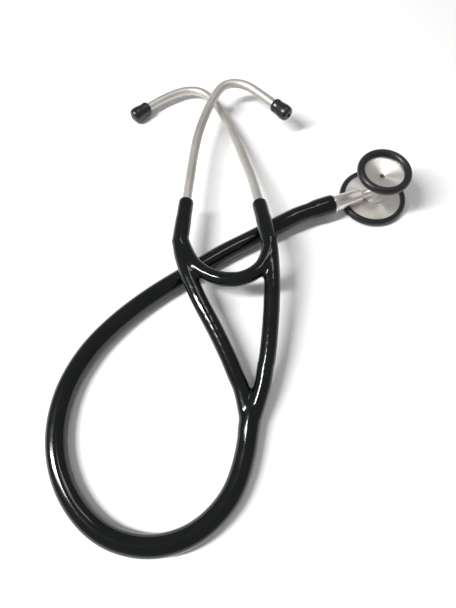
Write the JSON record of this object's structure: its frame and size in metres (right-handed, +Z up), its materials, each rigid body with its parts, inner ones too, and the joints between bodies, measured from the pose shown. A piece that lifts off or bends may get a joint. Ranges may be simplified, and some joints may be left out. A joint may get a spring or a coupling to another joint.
{
  "type": "stethoscope",
  "caption": "Dual-head stethoscope lying on a table: headset with two bent ear tubes on a sprung yoke, one looped tube, and a swivelling bell and diaphragm chestpiece.",
  "frame": {"origin": "on the table (z = 0), under the middle of everything but the main tube", "axes": "+Z up from the table; +Y from the tube's loop towards the bends of the ear tubes; +X towards the chestpiece"},
  "size_m": [0.2172, 0.3092, 0.0315],
  "materials": {
    "tubing": "gloss, moulded",
    "ear_tip": "soft gloss",
    "rim_rubber": "satin",
    "seal": "matte",
    "ear_tube_metal": "satin anodised",
    "insert_metal": "turned",
    "chestpiece_metal": "turned, satin",
    "stem_metal": "satin",
    "spring_steel": "plain",
    "diaphragm_film": "satin film"
  },
  "bodies": {
    "yoke_and_tube": {"main_tube": "tubing", "tube_socket": "tubing", "y_junction": "tubing", "left_branch": "tubing", "right_branch": "tubing", "spring_bridge": "tubing", "leaf_spring": "spring_steel", "stem": "stem_metal", "stem_seal": "seal", "detent_ball": "spring_steel", "detent_spring": "spring_steel"},
    "left_arm": {"left_sleeve": "tubing"},
    "left_earpiece": {"left_ear_tube": "ear_tube_metal", "left_tip_insert": "insert_metal", "left_ear_tip": "ear_tip"},
    "right_arm": {"right_sleeve": "tubing"},
    "right_earpiece": {"right_ear_tube": "ear_tube_metal", "right_tip_insert": "insert_metal", "right_ear_tip": "ear_tip"},
    "chestpiece": {"bell_body": "chestpiece_metal", "bell_rim": "rim_rubber", "diaphragm_housing": "chestpiece_metal", "diaphragm": "diaphragm_film", "diaphragm_rim": "rim_rubber", "grub_screw": "spring_steel"}
  },
  "joints": [
    {"name": "left_spread", "type": "hinge", "parent": "yoke_and_tube", "child": "left_arm", "pos_m": [-0.0526, -0.0123, 0.019], "axis": [0, 0, 1], "range_deg": [0, 35], "stiffness_Nm_per_rad": 1.5, "deforming": ["spring_bridge", "leaf_spring"]},
    {"name": "right_spread", "type": "hinge", "parent": "yoke_and_tube", "child": "right_arm", "pos_m": [0.0007, -0.0123, 0.0235], "axis": [0, 0, -1], "range_deg": [0, 35], "stiffness_Nm_per_rad": 1.5, "deforming": ["spring_bridge", "leaf_spring"]},
    {"name": "left_ear_turn", "type": "hinge", "parent": "left_arm", "child": "left_earpiece", "pos_m": [-0.0501, 0.0175, 0.0189], "axis": [-0.0966, -0.9953, 0.0037], "range_deg": [0, 45]},
    {"name": "right_ear_turn", "type": "hinge", "parent": "right_arm", "child": "right_earpiece", "pos_m": [-0.0047, 0.0157, 0.0195], "axis": [-0.1658, 0.9762, -0.14], "range_deg": [0, 22]},
    {"name": "chestpiece_swivel", "type": "hinge", "parent": "yoke_and_tube", "child": "chestpiece", "pos_m": [0.0729, 0.0314, 0.01], "axis": [-0.9379, -0.3469, 0], "continuous": true}
  ]
}
